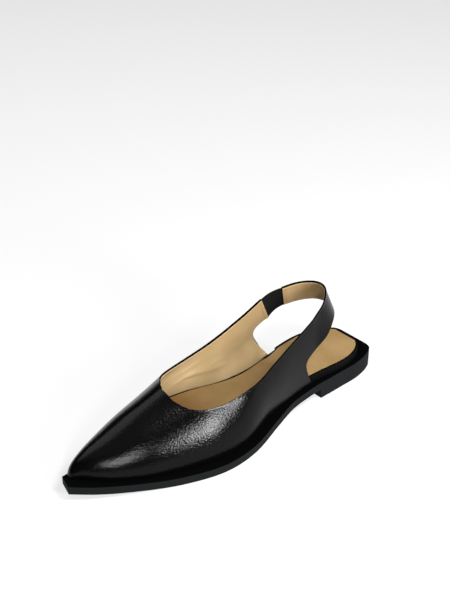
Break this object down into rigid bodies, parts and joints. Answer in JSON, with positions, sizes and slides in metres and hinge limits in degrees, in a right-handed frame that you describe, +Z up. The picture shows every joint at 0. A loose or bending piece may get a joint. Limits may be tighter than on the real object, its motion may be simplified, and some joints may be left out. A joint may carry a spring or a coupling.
{
  "type": "sling back flat shoe",
  "caption": "Pointed sling back flat for the left foot: low-cut leather upper with heel strap and elastic gore, tan lining, flat sole, low heel.",
  "frame": {"origin": "middle of the shoe's box, on the floor plane that the heel and the forefoot stand on", "axes": "+X to the toe along the shoe's length, +Y to the wearer's left, the lateral side, +Z up"},
  "size_m": [0.282, 0.0909, 0.0812],
  "materials": {
    "outsole": "matt moulded unit sole, near black",
    "insole_wrap": "black leather wrapped round the footbed's edge",
    "lining_leather": "matt tan lining leather",
    "upper_leather": "smooth black calf with a soft gloss",
    "elastic": "matt black ribbed elastic"
  },
  "bodies": {
    "root": {"outsole": "outsole", "insole_board": "insole_wrap", "sock_lining": "lining_leather", "upper": "upper_leather", "elastic_gore": "elastic"}
  },
  "joints": []
}
